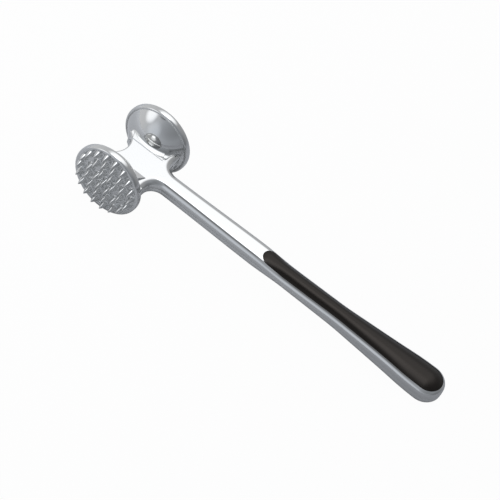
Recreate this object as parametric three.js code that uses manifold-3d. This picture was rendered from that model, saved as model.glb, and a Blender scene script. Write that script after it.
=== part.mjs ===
// Meat mallet: one plated casting with two spiked striking discs, a flat neck between them, and a
// slim handle whose two flat sides each hold a soft grip inlay.
//
// Units are millimetres. The casting is first laid out flat: x runs from the disc axis along the
// handle, y is the axis of the two discs and z is square to the flat sides. It is then tipped to
// the way the mallet lies on a table, on the two disc rims and the end of the handle.

import * as THREE from "three";
import { mergeVertices } from "three/addons/utils/BufferGeometryUtils.js";
import Module from "manifold-3d";

// Overall sizes
const overallLength = 249.7;
const discDiameter = 46.4;
const headWidth = 52;

// Striking discs: a rounded rim, a lip with a sunken floor in front, and a domed back
const rimWidth = 4.7;
const rimFrontRounding = 1.2;
const rimBackRounding = 1.4;
const lipWidth = 1.4;
const lipChamfer = 0.5;
const faceDepth = 1.1;
const grooveWidth = 0.6;
const grooveDepth = 0.3;
const domeRise = 10.9;
const domePower = 2.4;
const rimWidestShare = 0.5;
const rimPower = 0.77;
const domeRings = 7;
const rimRings = 4;
const discSides = 56;

// Spikes: round cones in rings on each striking face, finer on one face than on the other
const spikeTipWidth = 0.5;
const fineSpikeWidth = 5.1;
const fineSpikeHeight = 5.5;
const fineSpikeSides = 8;
const fineRings = [
  { count: 1, radiusShare: 0, turn: 0 },
  { count: 6, radiusShare: 0.306, turn: 0 },
  { count: 12, radiusShare: 0.626, turn: Math.PI / 12 },
  { count: 18, radiusShare: 0.95, turn: 0 },
];
const coarseSpikeWidth = 7.4;
const coarseSpikeHeight = 4.4;
const coarseSpikeSides = 10;
const coarseRings = [
  { count: 1, radiusShare: 0, turn: 0 },
  { count: 5, radiusShare: 0.46, turn: 0 },
  { count: 10, radiusShare: 0.885, turn: Math.PI / 10 },
];

// Neck: a hollow curve across the head end, and a round hollow each side that runs to the handle
const neckThickness = 10.9;
const neckSetback = 6.3;
const neckCurveRadius = 12.7;
const neckCurveReachShare = 0.87;
const flareRadius = 7.7;
const headEdgeRadius = 1;
const neckCurveSteps = 10;
const flareSteps = 7;

// Raised pads on the neck's flat sides, which run into the domed backs of the discs
const padPlace = 7.5;
const padBackReach = 8.3;
const padBackSpread = 5.7;
const padFrontReach = 15;
const padFrontDraw = 5.5;
const padStep = 0.42;
const padBevel = 0.5;

// Handle: straight sided up to the grip, then swelling to a round end
const handleStart = 27.6;
const handleStartWidth = 12.8;
const gripWidth = 14.6;
const swellStart = 150;
const endRadius = 11;
const endThickness = 14.7;
const handleStep = 8;
const endSteps = 14;
const swellShares = [
  [0, 0],
  [0.3, 0.24],
  [0.61, 0.58],
  [0.84, 0.92],
  [1, 1],
];
const thickeningShares = [
  [0, 0],
  [0.1, 0.04],
  [0.41, 0.38],
  [0.72, 0.89],
  [1, 1],
];

// Rounding of the long edges: how far in and how far down each line of it lies, as shares of the
// edge radius. The edge drops deeper beside the grips than along the bare neck, and it is tighter
// across the head end.
const edgeRadius = 4;
const edgeInsetShares = [0, 0.06, 0.23, 0.48, 0.83, 1.15];
const bareEdgeDropShares = [0.9, 0.6, 0.36, 0.21, 0.07, 0];
const gripEdgeDropShares = [0.9, 0.68, 0.5, 0.43, 0.2, 0];
const edgeChangeLength = 20;

// Grip inlays and the pockets that they sit in
const gripStart = 97.7;
const gripRim = 2.1;
const pocketWeb = 4.4;
const gripGap = 0.3;
const gripCrown = 0.4;
const gripShoulder = 2;
const crownInsetShares = [0, 0.05, 0.16, 0.34, 0.58, 0.85];

// How far a cutting body reaches past the face that it cuts
const overrun = 1;

// The spikes of each face
const fineSpikes = {
  rings: fineRings,
  width: fineSpikeWidth,
  height: fineSpikeHeight,
  sides: fineSpikeSides,
};
const coarseSpikes = {
  rings: coarseRings,
  width: coarseSpikeWidth,
  height: coarseSpikeHeight,
  sides: coarseSpikeSides,
};

// Places that follow from the sizes above
const discRadius = discDiameter / 2;
const handleEnd = overallLength - discRadius;
const endCentre = handleEnd - endRadius;
const lipPlace = headWidth / 2;
const rimBackPlace = lipPlace - rimWidth;
const rimWidestPlace = lipPlace - rimWidth * rimWidestShare;
const lipRadius = discRadius - rimFrontRounding - lipWidth;
const floorRadius = lipRadius - lipChamfer;
const floorPlace = lipPlace - faceDepth;

const wasm = await Module();
wasm.setup();

// Turns a closed geometry into a solid that can be joined and cut.
function solidFrom(geometry) {
  geometry.deleteAttribute("normal");
  geometry.deleteAttribute("uv");
  const merged = mergeVertices(geometry);
  const vertProperties = new Float32Array(merged.attributes.position.array);
  const triVerts = new Uint32Array(merged.index.array);
  return new wasm.Manifold(new wasm.Mesh({ numProp: 3, vertProperties, triVerts }));
}

// Turns a solid back into a geometry for a mesh.
function geometryFrom(solid) {
  const { vertProperties, triVerts } = solid.getMesh();
  const geometry = new THREE.BufferGeometry();
  geometry.setAttribute("position", new THREE.BufferAttribute(vertProperties, 3));
  geometry.setIndex(new THREE.BufferAttribute(triVerts, 1));
  geometry.computeVertexNormals();
  return geometry;
}

// Reads a smooth curve through a table of [place, value] shares.
function shareAt(table, place) {
  const last = table.length - 1;
  if (place <= 0) return table[0][1];
  if (place >= 1) return table[last][1];
  const i = table.findIndex((row) => row[0] > place) - 1;
  const slope = (k) => {
    const from = table[Math.max(k - 1, 0)];
    const to = table[Math.min(k + 1, last)];
    return k === 0 || k === last ? 0 : (to[1] - from[1]) / (to[0] - from[0]);
  };
  const span = table[i + 1][0] - table[i][0];
  const t = (place - table[i][0]) / span;
  const rise = table[i + 1][1] - table[i][1];
  const startLean = span * slope(i) - rise;
  const endLean = rise - span * slope(i + 1);
  return table[i][1] + t * rise + t * (1 - t) * ((1 - t) * startLean + t * endLean);
}

// Half of the handle's width at a place along it.
function halfWidthAt(x) {
  const taper = THREE.MathUtils.smoothstep(x, handleStart, gripStart);
  const swell = shareAt(swellShares, (x - swellStart) / (endCentre - swellStart));
  const straight = THREE.MathUtils.lerp(handleStartWidth, gripWidth, taper) / 2;
  return THREE.MathUtils.lerp(straight, endRadius, swell);
}

// Half of the thickness of the neck and handle at a place along them.
function halfThicknessAt(x) {
  const share = shareAt(thickeningShares, (x - gripStart) / (handleEnd - gripStart));
  return THREE.MathUtils.lerp(neckThickness, endThickness, share) / 2;
}

// Radius of the edge rounding at a place along the neck and handle.
function edgeRadiusAt(x) {
  const along = THREE.MathUtils.smoothstep(x, -neckSetback, discRadius / 2);
  return THREE.MathUtils.lerp(headEdgeRadius, edgeRadius, along);
}

// How far the edge rounding lies below the flat side, on one of its lines.
function edgeDropAt(line, x) {
  const changeStart = gripStart - edgeChangeLength / 2;
  const change = THREE.MathUtils.smoothstep(x, changeStart, gripStart + edgeChangeLength);
  return edgeRadiusAt(x) * THREE.MathUtils.lerp(bareEdgeDropShares[line], gripEdgeDropShares[line], change);
}

// Points on a circle, evenly spaced from one angle to another.
function arcPoints(centreX, centreY, radius, from, to, steps) {
  return Array.from({ length: steps + 1 }, (_, i) => {
    const angle = THREE.MathUtils.lerp(from, to, i / steps);
    return new THREE.Vector2(centreX + radius * Math.cos(angle), centreY + radius * Math.sin(angle));
  });
}

// Points along the handle's side at negative y, moved in by an inset.
function sidePoints(from, to, inset) {
  const steps = Math.ceil((to - from) / handleStep);
  return Array.from({ length: steps + 1 }, (_, i) => {
    const x = THREE.MathUtils.lerp(from, to, i / steps);
    return new THREE.Vector2(x, inset - halfWidthAt(x));
  });
}

// The same points on the other side, in the opposite order.
function mirrored(points) {
  return points.map((point) => new THREE.Vector2(point.x, -point.y)).reverse();
}

// Outline of the neck and handle. It runs on into both discs, which cover its square ends.
function castingOutline() {
  const flareCentre = handleStartWidth / 2 + flareRadius;
  const flare = arcPoints(handleStart, -flareCentre, flareRadius, Math.PI, Math.PI / 2, flareSteps);
  const side = [
    new THREE.Vector2(handleStart - flareRadius, -rimWidestPlace),
    ...flare.slice(0, -1),
    ...sidePoints(handleStart, endCentre, 0).slice(0, -1),
  ];
  const end = arcPoints(endCentre, 0, endRadius, -Math.PI / 2, Math.PI / 2, endSteps);
  const reach = Math.asin(neckCurveReachShare);
  const hollowCentre = -neckSetback - neckCurveRadius;
  const hollow = arcPoints(hollowCentre, 0, neckCurveRadius, reach, -reach, neckCurveSteps);
  return [
    ...side,
    ...end,
    ...mirrored(side),
    new THREE.Vector2(hollow[0].x, rimWidestPlace),
    ...hollow,
    new THREE.Vector2(hollow[0].x, -rimWidestPlace),
  ];
}

// Outline of a grip inlay or of its pocket: an inset from the handle's own outline, round in front.
function gripOutline(inset) {
  const frontRadius = halfWidthAt(gripStart + gripWidth / 2 - inset) - inset;
  const frontCentre = gripStart - gripRim + inset + frontRadius;
  const side = sidePoints(frontCentre, endCentre, inset).slice(0, -1);
  const end = arcPoints(endCentre, 0, endRadius - inset, -Math.PI / 2, Math.PI / 2, endSteps);
  const front = arcPoints(frontCentre, 0, frontRadius, Math.PI / 2, (3 * Math.PI) / 2, endSteps);
  return [...side, ...end, ...mirrored(side).slice(0, -1), ...front.slice(0, -1)];
}

// Stitches one closed body from an outline and a list of levels, from the lowest to the highest.
// Each level draws the outline in by an inset, to a height, and both may change along the body.
function stackedBody(outline, levels) {
  const count = outline.length;
  const inward = outline.map((_, i) => {
    const before = outline[(i + count - 1) % count];
    const after = outline[(i + 1) % count];
    const along = new THREE.Vector2().subVectors(after, before).normalize();
    return new THREE.Vector2(-along.y, along.x);
  });
  const rings = levels.map(({ insetAt }) => {
    return outline.map((point, i) => point.clone().addScaledVector(inward[i], insetAt(point.x)));
  });
  const positions = rings.flatMap((ring, k) => ring.flatMap(({ x, y }) => [x, y, levels[k].heightAt(x)]));
  const indices = [];
  for (let k = 0; k + 1 < rings.length; k += 1) {
    for (let i = 0; i < count; i += 1) {
      const a = k * count + i;
      const b = k * count + ((i + 1) % count);
      indices.push(a, b, b + count, a, b + count, a + count);
    }
  }
  const top = (rings.length - 1) * count;
  for (const [a, b, c] of THREE.ShapeUtils.triangulateShape(rings[0], [])) indices.push(a, c, b);
  for (const [a, b, c] of THREE.ShapeUtils.triangulateShape(rings[rings.length - 1], [])) {
    indices.push(top + a, top + b, top + c);
  }
  const geometry = new THREE.BufferGeometry();
  geometry.setAttribute("position", new THREE.Float32BufferAttribute(positions, 3));
  geometry.setIndex(indices);
  return geometry;
}

// Half of a striking disc's section, from the middle of its domed back to the middle of its floor.
function discProfile() {
  const domeRadius = discRadius - rimBackRounding - grooveWidth;
  const dome = Array.from({ length: domeRings + 1 }, (_, i) => {
    const share = i / domeRings;
    return new THREE.Vector2(domeRadius * share, rimBackPlace - domeRise * (1 - share ** domePower));
  });
  const rimArc = (rounding, edgePlace, from, to) => Array.from({ length: rimRings }, (_, i) => {
    const angle = THREE.MathUtils.lerp(from, to, i / rimRings);
    const depth = rounding * (1 - Math.cos(angle) ** rimPower);
    const along = Math.sin(angle) ** rimPower;
    return new THREE.Vector2(discRadius - depth, THREE.MathUtils.lerp(rimWidestPlace, edgePlace, along));
  });
  return [
    ...dome,
    new THREE.Vector2(domeRadius + grooveWidth / 2, rimBackPlace + grooveDepth),
    ...rimArc(rimBackRounding, rimBackPlace, Math.PI / 2, 0),
    ...rimArc(rimFrontRounding, lipPlace, 0, Math.PI / 2),
    new THREE.Vector2(discRadius - rimFrontRounding, lipPlace),
    new THREE.Vector2(lipRadius, lipPlace),
    new THREE.Vector2(floorRadius, floorPlace),
    new THREE.Vector2(0, floorPlace),
  ];
}

// One striking disc on its axis, with its rings of spikes, facing positive y.
function strikingDisc({ rings, width, height, sides }, restTurn) {
  const body = new THREE.LatheGeometry(discProfile(), discSides);
  body.rotateY(-restTurn);
  let disc = solidFrom(body);
  for (const { count, radiusShare, turn } of rings) {
    for (let i = 0; i < count; i += 1) {
      const angle = turn + (2 * Math.PI * i) / count;
      const reach = floorRadius * radiusShare;
      const sunk = faceDepth / 2;
      const baseWidth = width + (sunk * (width - spikeTipWidth)) / height;
      const spike = new THREE.CylinderGeometry(spikeTipWidth / 2, baseWidth / 2, height + sunk, sides);
      spike.rotateY(-angle);
      spike.translate(reach * Math.cos(angle), floorPlace + (height - sunk) / 2, reach * Math.sin(angle));
      disc = disc.add(solidFrom(spike));
    }
  }
  return disc;
}

// The neck and handle as one slab with rounded edges.
function neckAndHandle() {
  const levelsOn = (side) => edgeInsetShares.map((share, line) => {
    return {
      insetAt: (x) => share * edgeRadiusAt(x),
      heightAt: (x) => side * (halfThicknessAt(x) - edgeDropAt(line, x)),
    };
  });
  return stackedBody(castingOutline(), [...levelsOn(-1).reverse(), ...levelsOn(1)]);
}

// The pads of both flat sides beside one disc, as one body through the neck.
function neckPads() {
  const outline = [
    new THREE.Vector2(-padBackReach, padPlace),
    new THREE.Vector2(padFrontReach, padPlace),
    new THREE.Vector2(padFrontReach - padFrontDraw, rimBackPlace),
    new THREE.Vector2(-padBackReach - padBackSpread, rimBackPlace),
  ];
  const top = neckThickness / 2 + padStep;
  return stackedBody(outline, [
    { insetAt: () => padBevel, heightAt: () => -top },
    { insetAt: () => 0, heightAt: () => padBevel - top },
    { insetAt: () => 0, heightAt: () => top - padBevel },
    { insetAt: () => padBevel, heightAt: () => top },
  ]);
}

// The body that cuts the pocket for a grip inlay out of the upper side.
function gripPocket() {
  const levels = [
    { insetAt: () => 0, heightAt: () => pocketWeb / 2 },
    { insetAt: () => 0, heightAt: (x) => halfThicknessAt(x) + overrun },
  ];
  return stackedBody(gripOutline(gripRim), levels);
}

// The grip inlay of the upper side, clear of its pocket all round and crowned on top.
function gripInlay() {
  const inset = gripRim + gripGap;
  const halfWidth = gripWidth / 2 - inset;
  const top = crownInsetShares.map((share) => {
    const fall = (gripShoulder + gripCrown) * (1 - share) ** 2;
    return { insetAt: () => share * halfWidth, heightAt: (x) => halfThicknessAt(x) + gripCrown - fall };
  });
  const floor = { insetAt: () => 0, heightAt: () => pocketWeb / 2 + gripGap };
  return stackedBody(gripOutline(inset), [floor, ...top]);
}

// How far the mallet tips about the disc axis until the far end of these bodies meets the table.
function tableTurn(geometries) {
  const turns = geometries.flatMap((geometry) => {
    const places = geometry.getAttribute("position");
    return Array.from({ length: places.count }, (_, i) => {
      const x = places.getX(i);
      const z = places.getZ(i);
      const reach = Math.hypot(x, z);
      if (x <= handleStart || reach <= discRadius) return Infinity;
      return Math.asin(discRadius / reach) - Math.atan2(z, x);
    });
  });
  return Math.min(...turns);
}

// The casting: both discs, the neck with its pads and the handle, less the two pockets.
function castBody(handle, restTurn) {
  const fineDisc = strikingDisc(fineSpikes, -restTurn);
  const coarseDisc = strikingDisc(coarseSpikes, restTurn);
  const pocket = solidFrom(gripPocket());
  const pads = solidFrom(neckPads());
  const solid = solidFrom(handle)
    .add(pads)
    .add(pads.rotate([180, 0, 0]))
    .add(coarseDisc)
    .add(fineDisc.rotate([180, 0, 0]))
    .subtract(pocket)
    .subtract(pocket.rotate([180, 0, 0]));
  return geometryFrom(solid);
}

function platedMetal() {
  return new THREE.MeshStandardMaterial({ color: 0xd3d4d3, roughness: 0.12, metalness: 1 });
}

function softGrip() {
  return new THREE.MeshStandardMaterial({ color: 0x1a1917, roughness: 0.6, metalness: 0 });
}

function namedMesh(name, geometry, material) {
  const mesh = new THREE.Mesh(geometry, material);
  mesh.name = name;
  return mesh;
}

const handle = neckAndHandle();
const restTurn = tableTurn([handle, gripInlay()]);
const body = namedMesh("cast_body", castBody(handle, restTurn), platedMetal());
const frontInlay = namedMesh("front_grip_inlay", gripInlay(), softGrip());
const backInlay = namedMesh("back_grip_inlay", gripInlay(), softGrip());
backInlay.rotation.x = Math.PI;

// The whole mallet as it lies on a table, with its origin under the middle of its box.
const lying = new THREE.Group();
lying.rotation.y = restTurn;
lying.add(body, frontInlay, backInlay);

const mallet = new THREE.Group();
mallet.name = "meat_mallet";
mallet.add(lying);
const box = new THREE.Box3().setFromObject(mallet, true);
const middle = box.getCenter(new THREE.Vector3());
lying.position.set(-middle.x, -middle.y, -box.min.z);

export default mallet;
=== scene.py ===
import math
from collections import namedtuple

import bpy
from mathutils import Matrix, Vector


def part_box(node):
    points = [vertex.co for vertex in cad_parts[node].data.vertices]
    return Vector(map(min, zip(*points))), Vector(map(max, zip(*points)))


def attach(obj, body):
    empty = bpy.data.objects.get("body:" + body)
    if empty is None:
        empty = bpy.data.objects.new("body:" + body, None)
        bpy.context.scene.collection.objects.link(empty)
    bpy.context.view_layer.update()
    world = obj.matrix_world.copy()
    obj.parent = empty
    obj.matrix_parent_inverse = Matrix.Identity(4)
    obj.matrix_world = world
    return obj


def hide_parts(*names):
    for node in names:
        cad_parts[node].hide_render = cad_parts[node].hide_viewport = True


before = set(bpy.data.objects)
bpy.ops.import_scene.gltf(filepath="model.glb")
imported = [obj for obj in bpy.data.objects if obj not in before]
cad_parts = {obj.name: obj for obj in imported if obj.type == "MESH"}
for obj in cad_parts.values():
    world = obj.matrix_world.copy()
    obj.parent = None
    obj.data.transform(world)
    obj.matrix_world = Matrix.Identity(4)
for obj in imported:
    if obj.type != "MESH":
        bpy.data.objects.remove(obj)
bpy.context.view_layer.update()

# Sizes of the mallet in millimetres.
# It is drawn flat: x along the handle from the disc axis, y along the disc axis, z up.
MM = 0.001
OVERALL_LENGTH = 249.7
HEAD_WIDTH = 52.0
NECK_THICKNESS = 10.9
END_THICKNESS = 14.7
HANDLE_START = 27.6
HANDLE_START_WIDTH = 12.8
GRIP_START = 97.7
GRIP_WIDTH = 14.6
GRIP_RIM_WIDTH = 2.1
GRIP_CROWN = 0.4  # of the solid, which sets how the mallet lies
SWELL_START = 150.0
END_RADIUS = 11.0
NECK_SETBACK = 6.3
NECK_CURVE_RADIUS = 12.7
NECK_CURVE_REACH = 11.05
NECK_END = 22.6
FLARE_RADIUS = 7.7

# Discs
DISC_RADIUS = 23.2
RIM_WIDTH = 4.7
RIM_POWER = 0.77
RIM_BACK_DROP = 1.4
RIM_FRONT_DROP = 1.2
DOME_RISE = 10.9
DOME_RADIUS = 21.2
DOME_POWER = 2.4
FLOOR_DEPTH = 1.1

# Spikes, and their rings about the middle one
Ring = namedtuple("Ring", "count radius turn")
FINE_SPIKE_WIDTH = 5.1
FINE_SPIKE_HEIGHT = 5.5
FINE_RINGS = [Ring(6, 6.1, 0.0), Ring(12, 12.45, math.pi / 12), Ring(18, 18.9, 0.0)]
COARSE_SPIKE_WIDTH = 7.4
COARSE_SPIKE_HEIGHT = 4.4
COARSE_RINGS = [Ring(5, 9.15, 0.0), Ring(10, 17.6, math.pi / 10)]
SPIKE_TIP = 0.3
SPIKE_SUNK = 0.3

# Places that follow from the sizes
HANDLE_END = OVERALL_LENGTH - DISC_RADIUS
END_CENTRE = HANDLE_END - END_RADIUS
LIP_PLACE = HEAD_WIDTH / 2
RIM_BACK = LIP_PLACE - RIM_WIDTH
RIM_WIDEST = LIP_PLACE - RIM_WIDTH * 0.5
FLOOR_PLACE = LIP_PLACE - FLOOR_DEPTH
DOME_MIDDLE = RIM_BACK - DOME_RISE
HOLLOW_CENTRE = -NECK_SETBACK - NECK_CURVE_RADIUS
HEAD_CORNER = HOLLOW_CENTRE + math.sqrt(NECK_CURVE_RADIUS ** 2 - NECK_CURVE_REACH ** 2)

# How the handle widens and thickens, as shares of its length and of the growth
SWELL = [(0, 0), (0.3, 0.24), (0.61, 0.58), (0.84, 0.92), (1, 1)]
THICKENING = [(0, 0), (0.1, 0.04), (0.41, 0.38), (0.72, 0.89), (1, 1)]

# How finely the curves are drawn
SIDE_STEP = 2.0
END_STEPS = 48
FLARE_STEPS = 20
HOLLOW_STEPS = 36
GRIP_FRONT_STEPS = 36
EDGE_STEPS = 16
GRIP_STEPS = 14
DOME_STEPS = 40
RIM_BACK_STEPS = 12
RIM_FRONT_STEPS = 20
TIP_STEPS = 8
DISC_SEGMENTS = 192
SPIKE_SEGMENTS = 36
NEAR_ENOUGH = 0.001
METAL_SHARP, GRIP_SHARP, SPIKE_SHARP = 35, 60, 50


def smooth(low, high, value):
    t = min(max((value - low) / (high - low), 0.0), 1.0)
    return t * t * (3 - 2 * t)


def mix(a, b, t):
    return a + (b - a) * t


def curve_through(table, place):
    """Reads a smooth curve through a table of (place, value) pairs that runs from 0 to 1."""
    last = len(table) - 1
    if place <= 0:
        return table[0][1]
    if place >= 1:
        return table[last][1]
    i = max(k for k in range(last) if table[k][0] <= place)

    def slope(k):
        if k in (0, last):
            return 0.0
        return (table[k + 1][1] - table[k - 1][1]) / (table[k + 1][0] - table[k - 1][0])

    span = table[i + 1][0] - table[i][0]
    rise = table[i + 1][1] - table[i][1]
    t = (place - table[i][0]) / span
    lean = (1 - t) * (span * slope(i) - rise) + t * (rise - span * slope(i + 1))
    return table[i][1] + t * rise + t * (1 - t) * lean


def half_width(x):
    straight = mix(HANDLE_START_WIDTH, GRIP_WIDTH, smooth(HANDLE_START, GRIP_START, x)) / 2
    swell = curve_through(SWELL, (x - SWELL_START) / (END_CENTRE - SWELL_START))
    return mix(straight, END_RADIUS, swell)


def half_thickness(x):
    share = curve_through(THICKENING, (x - GRIP_START) / (HANDLE_END - GRIP_START))
    return mix(NECK_THICKNESS, END_THICKNESS, share) / 2


# Placing the flat drawing on the table
REST_SAMPLES = 200
REST_SHORT_OF_END = 4


def table_turn():
    """The tip about the disc axis that brings the lower grip's crown down to the rims' level."""
    turns = []
    for i in range(REST_SAMPLES):
        x = mix(GRIP_START, HANDLE_END - REST_SHORT_OF_END, i / (REST_SAMPLES - 1))
        z = half_thickness(x) + GRIP_CROWN
        turns.append(math.asin(DISC_RADIUS / math.hypot(x, z)) - math.atan2(z, x))
    return min(turns)


def lying_matrix():
    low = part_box("cast_body")[0]
    spike_reach = FLOOR_PLACE + FINE_SPIKE_HEIGHT
    place = Vector((low.x + DISC_RADIUS * MM, low.y + spike_reach * MM, DISC_RADIUS * MM))
    return Matrix.Translation(place) @ Matrix.Rotation(table_turn(), 4, "Y") @ Matrix.Scale(MM, 4)


LYING = lying_matrix()


def new_object(name, points, faces):
    mesh = bpy.data.meshes.new(name)
    mesh.from_pydata(points, [], faces)
    item = bpy.data.objects.new(name, mesh)
    bpy.context.scene.collection.objects.link(item)
    return item


def new_piece(name, points, faces, material, sharp=METAL_SHARP):
    """Makes a mesh piece from points in the flat drawing, laid on the table."""
    piece = new_object(name, points, faces)
    piece.data.validate()
    piece.data.transform(LYING)
    piece.data.materials.append(material)
    finish_shading(piece, sharp)
    return piece


def finish_shading(piece, sharp):
    """Smooth shading, with edges kept sharp from an angle in degrees."""
    piece.data.shade_smooth()
    piece.data.set_sharp_from_angle(angle=math.radians(sharp))


def settled(body, spent):
    """Turns a piece's live modifiers into its plain mesh and removes the objects they used."""
    bpy.context.view_layer.update()
    seen = body.evaluated_get(bpy.context.evaluated_depsgraph_get())
    mesh = bpy.data.meshes.new_from_object(seen)
    body.modifiers.clear()
    body.data = mesh
    for other in spent:
        bpy.data.objects.remove(other)
    return body


def turned_about(points):
    """The same points turned half round the handle, to the near side or the under side."""
    return [(x, -y, -z) for x, y, z in points]


# Outlines of the neck, the handle and the grips
DISC_SIDE_RUN = (NECK_END, 20.5, 19, 17.5, 16.2, 15.1)
HEAD_SIDE_RUN = (NECK_END, 20.5, 18, 15.5, 13.5, 12)


def arc(cx, cy, radius, start, end, steps):
    turns = [mix(start, end, i / steps) for i in range(steps + 1)]
    return [(cx + radius * math.cos(turn), cy + radius * math.sin(turn)) for turn in turns]


def side(start, end, inset):
    """Points along the handle's near side, moved in by an inset."""
    steps = math.ceil((end - start) / SIDE_STEP)
    places = [mix(start, end, i / steps) for i in range(steps + 1)]
    return [(x, inset - half_width(x)) for x in places]


def mirrored(points):
    return [(x, -y) for x, y in reversed(points)]


def casting_outline():
    """Points round the neck and handle, the near side's count, and where the handle starts."""
    flare_middle = -(HANDLE_START_WIDTH / 2 + FLARE_RADIUS)
    flare = arc(HANDLE_START, flare_middle, FLARE_RADIUS, math.pi, math.pi / 2, FLARE_STEPS)
    run = [(HANDLE_START - FLARE_RADIUS, -y) for y in DISC_SIDE_RUN]
    near = run + flare[:-1] + side(HANDLE_START, END_CENTRE, 0)[:-1]
    end = arc(END_CENTRE, 0, END_RADIUS, -math.pi / 2, math.pi / 2, END_STEPS)
    reach = math.asin(NECK_CURVE_REACH / NECK_CURVE_RADIUS)
    hollow = arc(HOLLOW_CENTRE, 0, NECK_CURVE_RADIUS, reach, -reach, HOLLOW_STEPS)
    into = [(HEAD_CORNER, y) for y in HEAD_SIDE_RUN]
    points = near + end + mirrored(near) + into + hollow + mirrored(into)
    return points, len(near), len(run) + len(flare) - 1


def grip_outline(inset):
    """Points round a grip, the near side's count, and where it starts."""
    front_radius = half_width(GRIP_START + GRIP_WIDTH / 2 - inset) - inset
    front_centre = GRIP_START - GRIP_RIM_WIDTH + inset + front_radius
    near = side(front_centre, END_CENTRE, inset)[:-1]
    end = arc(END_CENTRE, 0, END_RADIUS - inset, -math.pi / 2, math.pi / 2, END_STEPS)
    front = arc(front_centre, 0, front_radius, math.pi / 2, 3 * math.pi / 2, GRIP_FRONT_STEPS)
    return near + end + mirrored(near)[:-1] + front[:-1], len(near), 0


def inward_normals(outline):
    count = len(outline)
    normals = []
    for i in range(count):
        (ax, ay), (bx, by) = outline[i - 1], outline[(i + 1) % count]
        length = math.hypot(bx - ax, by - ay)
        normals.append((-(by - ay) / length, (bx - ax) / length))
    return normals


def drawn_in(x, y, nx, ny, inset):
    """A point of an outline moved in, kept in order where the head's hollow meets its straight."""
    px, py = x + nx * inset, y + ny * inset
    if x > -NECK_SETBACK + NEAR_ENOUGH or abs(y) >= NECK_END:
        return px, py
    line = HEAD_CORNER + inset
    meet = math.sqrt((NECK_CURVE_RADIUS + inset) ** 2 - (line - HOLLOW_CENTRE) ** 2)
    on_straight = abs(x - HEAD_CORNER) < NEAR_ENOUGH and nx > 1 - NEAR_ENOUGH
    if px < line - NEAR_ENOUGH or (on_straight and abs(py) < meet):
        return line, math.copysign(meet, y)
    return px, py


# Closed bodies from outlines and sections
def zipped(ring, left, right):
    """Triangles between two chains of a ring that both run towards positive y."""
    faces = []
    a = b = 0
    while a < len(left) - 1 or b < len(right) - 1:
        right_done = b == len(right) - 1
        if right_done or (a < len(left) - 1 and ring[left[a + 1]][1] < ring[right[b + 1]][1]):
            faces.append((left[a], right[b], left[a + 1]))
            a += 1
        else:
            faces.append((left[a], right[b], right[b + 1]))
            b += 1
    return faces


def crossed(ring, near_count, start, offset):
    """Faces that close a ring of a stack: head end, strips across the handle, and round end."""
    count = len(ring)
    # Across the handle from point i of the near side lies point partner - i
    partner = 2 * near_count + END_STEPS
    faces = [(i, i + 1, partner - i - 1, partner - i) for i in range(start, near_count - 1)]
    faces.append(tuple(range(near_count - 1, near_count + END_STEPS + 2)))
    if start:
        right = list(range(start + 1)) + list(range(partner - start, partner + 1))
        faces += zipped(ring, list(range(count - 1, partner, -1)), right)
    else:
        faces.append((0,) + tuple(range(partner, count)))
    return [tuple(offset + i for i in face) for face in faces]


def stack(outline, levels):
    """Closed body over an outline. A level is a function from x to (inset, height)."""
    ring, near_count, start = outline
    count = len(ring)
    normals = inward_normals(ring)
    points, faces = [], []
    for level in levels:
        for (x, y), (nx, ny) in zip(ring, normals):
            inset, height = level(x)
            px, py = drawn_in(x, y, nx, ny, inset)
            points.append((px, py, height))
    for k in range(len(levels) - 1):
        low, high = k * count, (k + 1) * count
        for i in range(count):
            j = (i + 1) % count
            faces.append((low + i, low + j, high + j, high + i))
    top = (len(levels) - 1) * count
    bottom_faces = crossed(points[:count], near_count, start, 0)
    faces += [tuple(reversed(face)) for face in bottom_faces]
    faces += crossed(points[top:], near_count, start, top)
    return points, faces


def spun(section, segments):
    """Closed body of a section spun about the y axis, on which its first and last points are."""
    points, faces = [(0.0, section[0][1], 0.0)], []
    inner = section[1:-1]
    for radius, place in inner:
        for i in range(segments):
            turn = 2 * math.pi * i / segments
            points.append((radius * math.cos(turn), place, radius * math.sin(turn)))
    points.append((0.0, section[-1][1], 0.0))
    last = len(points) - 1
    tail = 1 + (len(inner) - 1) * segments
    for i in range(segments):
        j = (i + 1) % segments
        faces.append((0, 1 + i, 1 + j))
        for k in range(len(inner) - 1):
            a, b = 1 + k * segments, 1 + (k + 1) * segments
            faces.append((a + i, b + i, b + j, a + j))
        faces.append((tail + j, tail + i, last))
    return points, faces


def rounded(turn, power):
    """How far a rounded corner is across and up at one turn: from 1 and 0 to 0 and 1."""
    return max(math.cos(turn), 0) ** power, math.sin(turn) ** power


# Node trees and shader expressions
class Wire:
    """Wraps a node's output, so that shader maths can be written as an expression."""

    def __init__(self, tree, socket):
        self.tree, self.socket = tree, socket

    def out(self, key):
        """Another output of the same node."""
        return Wire(self.tree, found(self.socket.node.outputs, key))

    def maths(self, operation, first, second):
        return add_node(
            self.tree, "ShaderNodeMath", {"operation": operation}, {0: first, 1: second}
        )

    def __add__(self, other):
        return self.maths("ADD", self, other)

    def __sub__(self, other):
        return self.maths("SUBTRACT", self, other)

    def __rsub__(self, other):
        return self.maths("SUBTRACT", other, self)

    def __mul__(self, other):
        return self.maths("MULTIPLY", self, other)

    __radd__ = __add__
    __rmul__ = __mul__


def found(sockets, key):
    """A socket by its number, or by its identifier or name."""
    if isinstance(key, int):
        return sockets[key]
    return next(socket for socket in sockets if key in (socket.identifier, socket.name))


def plug(tree, slot, value):
    """Links one wire or a list of wires to a socket, or sets the socket's own value."""
    for item in value if isinstance(value, list) else [value]:
        if isinstance(item, Wire):
            tree.links.new(item.socket, slot)
        else:
            slot.default_value = item


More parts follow.
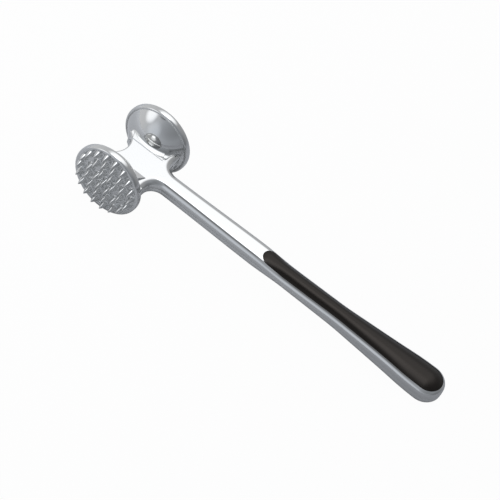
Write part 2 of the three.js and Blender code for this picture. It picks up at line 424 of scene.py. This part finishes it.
def add_node(tree, kind, settings=None, sockets=None, output=0):
    """Adds a node, sets its settings, then its sockets, and gives one of its outputs back."""
    node = tree.nodes.new(kind)
    for name, value in (settings or {}).items():
        setattr(node, name, value)
    for key, value in (sockets or {}).items():
        plug(tree, found(node.inputs, key), value)
    return Wire(tree, found(node.outputs, output)) if node.outputs else None


def blended(tree, share, first, second):
    """A colour that goes from the first to the second as the share goes from 0 to 1."""
    sockets = {"Factor_Float": share, "A_Color": first, "B_Color": second}
    return add_node(tree, "ShaderNodeMix", {"data_type": "RGBA"}, sockets, "Result_Color")


def smooth_step(tree, value, low, high):
    """0 below the low value and 1 above the high one, with a soft change between."""
    sockets = {"Value": value, "From Min": low, "From Max": high}
    return add_node(tree, "ShaderNodeMapRange", {"interpolation_type": "SMOOTHSTEP"}, sockets)


def noise(tree, scale, detail):
    place = add_node(tree, "ShaderNodeTexCoord", output="Object")
    sockets = {"Vector": place, "Scale": scale, "Detail": detail}
    return add_node(tree, "ShaderNodeTexNoise", sockets=sockets)


def new_material(name):
    material = bpy.data.materials.new(name)
    material.use_nodes = True
    material.node_tree.nodes.clear()
    return material, material.node_tree


# Finishes
def plated_metal():
    material, tree = new_material("plated_metal")
    haze, least_roughness = 0.05, 0.045
    surface = add_node(tree, "ShaderNodeBsdfPrincipled", sockets={
        "Base Color": (0.65, 0.655, 0.65, 1),
        "Metallic": 1.0,
        "Roughness": noise(tree, scale=45.0, detail=3.0) * haze + least_roughness,
    })
    add_node(tree, "ShaderNodeOutputMaterial", sockets={"Surface": surface})
    return material


def soft_grip():
    material, tree = new_material("soft_grip")
    cloud, least_roughness = 0.06, 0.26
    grain = noise(tree, scale=2600.0, detail=2.0)
    bump = add_node(tree, "ShaderNodeBump", sockets={
        "Height": grain,
        "Strength": 0.15,
        "Distance": 0.0001,
    })
    surface = add_node(tree, "ShaderNodeBsdfPrincipled", sockets={
        "Base Color": (0.0024, 0.002, 0.0016, 1),
        "Specular IOR Level": 0.32,
        "Specular Tint": (1.0, 0.9, 0.82, 1),
        "Roughness": noise(tree, scale=60.0, detail=3.0) * cloud + least_roughness,
        "Normal": bump,
    })
    add_node(tree, "ShaderNodeOutputMaterial", sockets={"Surface": surface})
    return material


METAL = plated_metal()
RUBBER = soft_grip()


# Neck and handle
EDGE_IN, EDGE_DOWN, EDGE_POWER = 4.6, 3.6, 1.85
HEAD_EDGE_SHARE = 0.2
GRIP_RIM_CORNER, GRIP_RIM_LAND, GRIP_RIM_TURN = 3.4, 1.75, math.radians(55)
GRIP_EASE_BEFORE, GRIP_EASE_AFTER = 4, 20
BARE_LAND_STEP, GRIP_LAND_STEP = 0.4, 0.6
SIDE_DRAFT = 0.1
PARTING_DEPTH, PARTING_HALF = 0.12, 0.3
POCKET_FLOOR, CUTTER_ABOVE = 2.2, 1


def edge_share(x):
    """The long edge is rounded tightly across the head end and fully along the handle."""
    return mix(HEAD_EDGE_SHARE, 1.0, smooth(-NECK_SETBACK, DISC_RADIUS / 2, x))


def beside_grip(x):
    """0 along the bare handle and 1 beside the grip."""
    return smooth(GRIP_START - GRIP_EASE_BEFORE, GRIP_START + GRIP_EASE_AFTER, x)


def edge_levels():
    """Levels of the long edge, from the side to the flat land, on the upper half.

    Along the bare handle the edge is one soft curve. Beside the grip it is round up to
    GRIP_RIM_TURN and then slants straight into the pocket.
    """
    levels = []
    for k in range(EDGE_STEPS + 1):
        turn = math.pi / 2 * k / EDGE_STEPS
        across, up = rounded(turn, 2 / EDGE_POWER)
        bare = (EDGE_IN * (1 - across), EDGE_DOWN * (1 - up))
        bend = min(turn, GRIP_RIM_TURN)
        inward = GRIP_RIM_CORNER * (1 - math.cos(bend))
        down = GRIP_RIM_CORNER * (1 - math.sin(bend))
        straight = max(turn - GRIP_RIM_TURN, 0) / (math.pi / 2 - GRIP_RIM_TURN)
        rim = (
            inward + straight * down * math.tan(GRIP_RIM_TURN),
            GRIP_RIM_LAND + down * (1 - straight),
        )

        def level(x, bare=bare, rim=rim):
            t, share = beside_grip(x), edge_share(x)
            inset = share * mix(bare[0], rim[0], t) + SIDE_DRAFT
            return inset, half_thickness(x) - share * mix(bare[1], rim[1], t)

        levels.append(level)

    def land(x):
        t = beside_grip(x)
        inset = mix(EDGE_IN + BARE_LAND_STEP, GRIP_RIM_CORNER - GRIP_LAND_STEP, t) * edge_share(x)
        return inset + SIDE_DRAFT, half_thickness(x) - mix(0, GRIP_RIM_LAND, t)

    return levels + [land]


def under(level):
    """The level's twin on the lower half."""
    def lower_level(x):
        inset, height = level(x)
        return inset, -height
    return lower_level


def make_pocket(lower):
    levels = [lambda x: (0, POCKET_FLOOR), lambda x: (0, half_thickness(x) + CUTTER_ABOVE)]
    points, faces = stack(grip_outline(GRIP_RIM_WIDTH), levels)
    return new_piece("pocket", turned_about(points) if lower else points, faces, METAL)


def make_handle():
    """The neck and handle, with a parting line round the edge and a pocket in each flat side."""
    upper = edge_levels()
    parting = [
        lambda x: (0.0, -PARTING_HALF),
        lambda x: (PARTING_DEPTH, 0.0),
        lambda x: (0.0, PARTING_HALF),
    ]
    levels = [under(level) for level in reversed(upper)] + parting + upper
    handle = new_piece("neck_and_handle", *stack(casting_outline(), levels), METAL)
    pockets = [make_pocket(False), make_pocket(True)]
    for pocket in pockets:
        cut = handle.modifiers.new("pocket", "BOOLEAN")
        cut.operation, cut.solver, cut.object = "DIFFERENCE", "MANIFOLD", pocket
    settled(handle, pockets)
    finish_shading(handle, METAL_SHARP)
    return handle


# Raised pads beside the discs
Pad = namedtuple("Pad", "edge front tilt bevel step")
NEAR_PAD = Pad(edge=10.0, front=16.5, tilt=0.16, bevel=1.0, step=0.8)
FAR_PAD = Pad(edge=7.5, front=15.0, tilt=0.0, bevel=0.48, step=0.42)
PAD_BACK = -8.3
PAD_BACK_SPREAD, PAD_FRONT_DRAW = 5.7, 5.5


def make_pads(near):
    """The raised pads of both flat sides beside one disc, as one body through the neck."""
    pad = NEAR_PAD if near else FAR_PAD
    ring = [
        (PAD_BACK, pad.edge),
        (pad.front, pad.edge),
        (pad.front - PAD_FRONT_DRAW, RIM_BACK),
        (PAD_BACK - PAD_BACK_SPREAD, RIM_BACK),
    ]
    top = NECK_THICKNESS / 2 + pad.step
    levels = [(pad.bevel, -top), (0, pad.bevel - top), (0, top - pad.bevel), (pad.bevel, top)]
    corners = len(ring)
    highest = (len(levels) - 1) * corners
    bottom, lid = tuple(reversed(range(corners))), tuple(range(highest, highest + corners))
    points, faces = [], [bottom, lid]
    for k, (inset, height) in enumerate(levels):
        for i, ((x, y), (nx, ny)) in enumerate(zip(ring, inward_normals(ring))):
            px, py = x + nx * inset, y + ny * inset
            lift = math.copysign(pad.tilt * (py - pad.edge), height)
            points.append((px, py, height + lift))
            if k:
                j = (i + 1) % corners
                low, high = (k - 1) * corners, k * corners
                faces.append((low + i, low + j, high + j, high + i))
    name = "near_pads" if near else "far_pads"
    return new_piece(name, turned_about(points) if near else points, faces, METAL)


# Striking discs, with points of their section as (radius, height over the part named)
GROOVE_FROM_RIM_BACK = [(21.35, 0.25), (21.45, 0.3), (21.6, 0.25)]
STEP_FROM_LIP = [(20.6, 0.0), (20.45, -0.1), (20.35, -0.3)]
STEP_FROM_FLOOR = [(19.9, 0.15), (19.75, 0.03), (19.5, 0.0), (10.0, 0.0), (0.0, 0.0)]


def disc_section():
    """Half of a disc's section as (radius, place) pairs, from the dome's middle to the floor's."""
    section = [(0.0, DOME_MIDDLE)]
    for i in range(2, DOME_STEPS + 1):
        share = i / DOME_STEPS
        section.append((DOME_RADIUS * share, DOME_MIDDLE + DOME_RISE * share ** DOME_POWER))
    section += [(radius, RIM_BACK + rise) for radius, rise in GROOVE_FROM_RIM_BACK]
    for i in range(RIM_BACK_STEPS + 1):
        out, along = rounded(math.pi / 2 * (1 - i / RIM_BACK_STEPS), RIM_POWER)
        place = RIM_WIDEST - (RIM_WIDEST - RIM_BACK) * along
        section.append((DISC_RADIUS - RIM_BACK_DROP * (1 - out), place))
    for i in range(1, RIM_FRONT_STEPS + 1):
        out, along = rounded(math.pi / 2 * i / RIM_FRONT_STEPS, RIM_POWER)
        place = RIM_WIDEST + (LIP_PLACE - RIM_WIDEST) * along
        section.append((DISC_RADIUS - RIM_FRONT_DROP * (1 - out), place))
    section += [(radius, LIP_PLACE + rise) for radius, rise in STEP_FROM_LIP]
    section += [(radius, FLOOR_PLACE + rise) for radius, rise in STEP_FROM_FLOOR]
    return section


def make_disc(near):
    points, faces = spun(disc_section(), DISC_SEGMENTS)
    name = "near_disc" if near else "far_disc"
    return new_piece(name, turned_about(points) if near else points, faces, METAL)


# Spikes, set out in rings by a node tree.
# The foot is given as (out from the spike's radius, up), the flank as shares of radius and height.
SPIKE_FOOT_SPREAD = 0.35
SPIKE_FOOT = [(SPIKE_FOOT_SPREAD, 0.0), (0.1, 0.06), (-0.12, 0.3)]
SPIKE_FLANK = [(0.79, 0.27), (0.56, 0.53), (0.34, 0.76)]


def spike_section(width, height):
    """Section of one spike about its own axis: sunken foot, hollow fillet, flank and round tip."""
    radius = width / 2
    lean = math.atan2(radius - SPIKE_TIP, height - SPIKE_TIP)
    section = [(0.0, -SPIKE_SUNK), (radius + SPIKE_FOOT_SPREAD, -SPIKE_SUNK)]
    section += [(radius + out, up) for out, up in SPIKE_FOOT]
    section += [(radius * out, height * up) for out, up in SPIKE_FLANK]
    for i in range(TIP_STEPS + 1):
        turn = mix(lean, math.pi / 2, i / TIP_STEPS)
        up = height - SPIKE_TIP + SPIKE_TIP * math.sin(turn)
        section.append((SPIKE_TIP * math.cos(turn), up))
    return section


def ring_of_spikes(tree, spike, ring, radius):
    """Spikes at even steps round a circle, which is turned about the middle of the face."""
    even_steps = {"Vertices": ring.count, "Radius": radius}
    circle = add_node(tree, "GeometryNodeMeshCircle", sockets=even_steps)
    turned = {"Geometry": circle, "Rotation": (0, 0, ring.turn)}
    feet = add_node(tree, "GeometryNodeTransform", sockets=turned)
    standing = {"Points": feet, "Instance": spike}
    return add_node(tree, "GeometryNodeInstanceOnPoints", sockets=standing)


def spike_tree(name, single, rings):
    """Node tree that stands a spike at a face's middle and in rings, and its inputs for radii."""
    tree = bpy.data.node_groups.new(name, "GeometryNodeTree")
    tree.interface.new_socket("Geometry", in_out="OUTPUT", socket_type="NodeSocketGeometry")
    tree.interface.new_socket("Geometry", in_out="INPUT", socket_type="NodeSocketGeometry")
    inputs = []
    for number, ring in enumerate(rings, start=1):
        socket = tree.interface.new_socket(
            f"Ring {number} radius", in_out="INPUT", socket_type="NodeSocketFloat"
        )
        socket.default_value = ring.radius
        inputs.append(socket.identifier)
    source = add_node(tree, "NodeGroupInput")
    spike = add_node(tree, "GeometryNodeObjectInfo", sockets={"Object": single}, output="Geometry")
    groups = [spike]
    for ring, identifier in zip(rings, inputs):
        groups.append(ring_of_spikes(tree, spike, ring, source.out(identifier)))
    gathered = add_node(tree, "GeometryNodeJoinGeometry", sockets={"Geometry": groups})
    real = add_node(tree, "GeometryNodeRealizeInstances", sockets={"Geometry": gathered})
    plated = {"Geometry": real, "Material": METAL}
    finished = add_node(tree, "GeometryNodeSetMaterial", sockets=plated)
    add_node(tree, "NodeGroupOutput", sockets={"Geometry": finished})
    return tree, inputs


def make_spikes(name, rings, width, height, near):
    points, faces = spun(spike_section(width, height), SPIKE_SEGMENTS)
    upright = [(x, z, y) for x, y, z in points]
    single = new_object("spike", upright, [tuple(reversed(face)) for face in faces])
    base = new_object(name, [], [])
    tree, inputs = spike_tree(name + "_rings", single, rings)
    grow = base.modifiers.new("rings", "NODES")
    grow.node_group = tree
    for identifier, ring in zip(inputs, rings):
        grow[identifier] = ring.radius
    piece = settled(base, [single])
    stand = Matrix.Translation((0, FLOOR_PLACE, 0)) @ Matrix.Rotation(-math.pi / 2, 4, "X")
    if near:
        stand = Matrix.Rotation(math.pi, 4, "X") @ stand
    piece.data.transform(LYING @ stand)
    finish_shading(piece, SPIKE_SHARP)
    return piece


# Grips
GRIP_WALL_DEPTH = 2.8
GRIP_EDGE_SUNK, GRIP_FRONT_SUNK = 0.35, 0.15
GRIP_PROUD = 0.35  # a little less than the solid's GRIP_CROWN
GRIP_CROWDING = 1.6
GRIP_CROWN_SHARE = 0.93


def make_grip(lower):
    """A soft inlay, from the pocket's floor up to an edge below the rim and a soft crown."""
    levels = [
        lambda x: (0.0, POCKET_FLOOR),
        lambda x: (0.0, half_thickness(x) - GRIP_WALL_DEPTH),
    ]
    for k in range(GRIP_STEPS + 1):
        share = (k / GRIP_STEPS) ** GRIP_CROWDING

        def level(x, share=share):
            sunk = (GRIP_RIM_LAND + GRIP_EDGE_SUNK) * beside_grip(x) + GRIP_FRONT_SUNK
            inset = share * (half_width(x) - GRIP_RIM_WIDTH) * GRIP_CROWN_SHARE
            rise = 1 - (1 - share) ** 2
            return inset, half_thickness(x) - sunk + (sunk + GRIP_PROUD) * rise

        levels.append(level)
    points, faces = stack(grip_outline(GRIP_RIM_WIDTH), levels)
    name = "lower_grip" if lower else "upper_grip"
    placed = turned_about(points) if lower else points
    return new_piece(name, placed, faces, RUBBER, GRIP_SHARP)


# Build
handle = make_handle()
discs = [make_disc(True), make_disc(False)]
pads = [make_pads(True), make_pads(False)]
casting = [handle] + discs + pads
spikes = [
    make_spikes("fine_spikes", FINE_RINGS, FINE_SPIKE_WIDTH, FINE_SPIKE_HEIGHT, True),
    make_spikes("coarse_spikes", COARSE_RINGS, COARSE_SPIKE_WIDTH, COARSE_SPIKE_HEIGHT, False),
]
grips = [make_grip(False), make_grip(True)]

for piece in casting + spikes:
    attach(piece, "root")
for piece in grips:
    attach(piece, "root")
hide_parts("cast_body")
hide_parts("front_grip_inlay")
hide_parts("back_grip_inlay")


# Floor: pale on the left, with painted shade that darkens its colour towards the right, seen in the
# metal's reflections
FLOOR_HALF = 3.0
# The right-hand floor colour and the fade towards it are painted shade: a darker floor that the
# metal reflects
FLOOR_LEFT, FLOOR_RIGHT_PAINTED_SHADE = (0.8, 0.815, 0.845, 1), (0.31, 0.32, 0.345, 1)
FLOOR_PAINTED_SHADE_START, FLOOR_PAINTED_SHADE_END = -0.5, 0.25
WHITE = (1, 1, 1, 1)


def seen_background(tree, straight, mirrored_share):
    """The white background's share: straight to the camera, and off metal or through glass."""
    camera = add_node(tree, "ShaderNodeLightPath", output="Is Camera Ray")
    glossy, through = camera.out("Is Glossy Ray"), camera.out("Is Transmission Ray")
    return camera * straight + (glossy + through) * mirrored_share


def mixed_shader(tree, share, first, second):
    return add_node(tree, "ShaderNodeMixShader", sockets={0: share, 1: first, 2: second})


def make_floor():
    corners = [(-1, -1), (1, -1), (1, 1), (-1, 1)]
    points = [(x * FLOOR_HALF, y * FLOOR_HALF, 0) for x, y in corners]
    floor = new_object("floor", points, [(0, 1, 2, 3)])
    material, tree = new_material("pale_floor")
    place = add_node(tree, "ShaderNodeTexCoord", output="Object")
    across = add_node(tree, "ShaderNodeSeparateXYZ", sockets={"Vector": place})
    # Painted shade: the floor's colour darkens towards the right
    painted_shade = smooth_step(tree, across, FLOOR_PAINTED_SHADE_START, FLOOR_PAINTED_SHADE_END)
    own = add_node(tree, "ShaderNodeBsdfPrincipled", sockets={
        "Base Color": blended(tree, painted_shade, FLOOR_LEFT, FLOOR_RIGHT_PAINTED_SHADE),
        "Roughness": 0.9,
        "Specular IOR Level": 0.0,
    })
    glow = add_node(tree, "ShaderNodeEmission", sockets={"Color": WHITE, "Strength": 1.0})
    white_share = seen_background(tree, straight=0.975, mirrored_share=0.1)
    surface = mixed_shader(tree, white_share, own, glow)
    add_node(tree, "ShaderNodeOutputMaterial", sockets={"Surface": surface})
    floor.data.materials.append(material)


# Light of the room: its level, its fall towards the right, and what each soft patch does to it
ROOM_LEVEL, ROOM_FALL = 0.52, 0.24
CORNER_DARK, SIDE_DARK, GAP_DARK = 0.12, 0.1, 0.34
WINDOW_LIGHT, LOW_LIGHT = 0.8, 0.2
BEHIND_LEVEL, ABOVE_LEVEL = 1.6, 2.8
WARM_TINT, COOL_TINT = (0.985, 0.995, 1.02, 1), (0.93, 0.985, 1.075, 1)
COOL_START, COOL_END = -0.4, 0.9


def soft_patch(tree, way, azimuth, elevation, inner, outer):
    """1 near a direction and 0 away from it, in degrees. Azimuth 0 is in front, 90 to the right."""
    flat = math.cos(math.radians(elevation))
    middle = (
        flat * math.sin(math.radians(azimuth)),
        -flat * math.cos(math.radians(azimuth)),
        math.sin(math.radians(elevation)),
    )
    sockets = {0: way, 1: middle}
    closeness = add_node(
        tree, "ShaderNodeVectorMath", {"operation": "DOT_PRODUCT"}, sockets, "Value"
    )
    low, high = math.cos(math.radians(outer)), math.cos(math.radians(inner))
    return smooth_step(tree, closeness, low, high)


def make_world():
    world = bpy.data.worlds.new("studio")
    bpy.context.scene.world = world
    world.use_nodes = True
    tree = world.node_tree
    tree.nodes.clear()
    way = add_node(tree, "ShaderNodeTexCoord", output="Generated")
    x = add_node(tree, "ShaderNodeSeparateXYZ", sockets={"Vector": way})
    y = x.out("Y")
    behind = soft_patch(tree, way, azimuth=-174, elevation=62, inner=8, outer=34)
    above = soft_patch(tree, way, azimuth=-110, elevation=82, inner=10, outer=21)
    window = soft_patch(tree, way, azimuth=-56, elevation=34, inner=6, outer=20)
    corner = soft_patch(tree, way, azimuth=35, elevation=48, inner=10, outer=42)
    beside = soft_patch(tree, way, azimuth=95, elevation=0, inner=10, outer=45)
    gap = soft_patch(tree, way, azimuth=-25, elevation=60, inner=3, outer=14)
    low_glow = soft_patch(tree, way, azimuth=-16, elevation=22, inner=6, outer=24)
    room = ROOM_LEVEL - x * ROOM_FALL - corner * CORNER_DARK - beside * SIDE_DARK
    room = room - gap * GAP_DARK + window * WINDOW_LIGHT + low_glow * LOW_LIGHT
    level = room * (1.0 - behind) + behind * BEHIND_LEVEL
    level = level * (1.0 - above) + above * ABOVE_LEVEL
    coolness = smooth_step(tree, x - y, COOL_START, COOL_END) * (1.0 - behind)
    tint = blended(tree, coolness, WARM_TINT, COOL_TINT)
    light = add_node(tree, "ShaderNodeBackground", sockets={"Color": tint, "Strength": level})
    white = add_node(tree, "ShaderNodeBackground", sockets={"Color": WHITE, "Strength": 1.0})
    white_share = seen_background(tree, straight=1.0, mirrored_share=0.06)
    surface = mixed_shader(tree, white_share, light, white)
    add_node(tree, "ShaderNodeOutputWorld", sockets={"Surface": surface})


# Camera, at the photograph's place: metres and degrees
CAMERA_PLACE = (0.1983, -0.53307, 0.67062)
CAMERA_TURN = (39.7496, -11.9988, 35.6075)
CAMERA_SENSOR, CAMERA_LENS = 36.0, 108.0
CAMERA_NEAREST, CAMERA_FARTHEST = 0.05, 20.0


def make_camera():
    data = bpy.data.cameras.new("camera")
    data.sensor_width, data.lens = CAMERA_SENSOR, CAMERA_LENS
    data.clip_start, data.clip_end = CAMERA_NEAREST, CAMERA_FARTHEST
    camera = bpy.data.objects.new("camera", data)
    camera.location = CAMERA_PLACE
    camera.rotation_euler = [math.radians(turn) for turn in CAMERA_TURN]
    bpy.context.scene.collection.objects.link(camera)
    bpy.context.scene.camera = camera


make_floor()
make_world()
make_camera()
bpy.context.scene.view_settings.view_transform = "Standard"
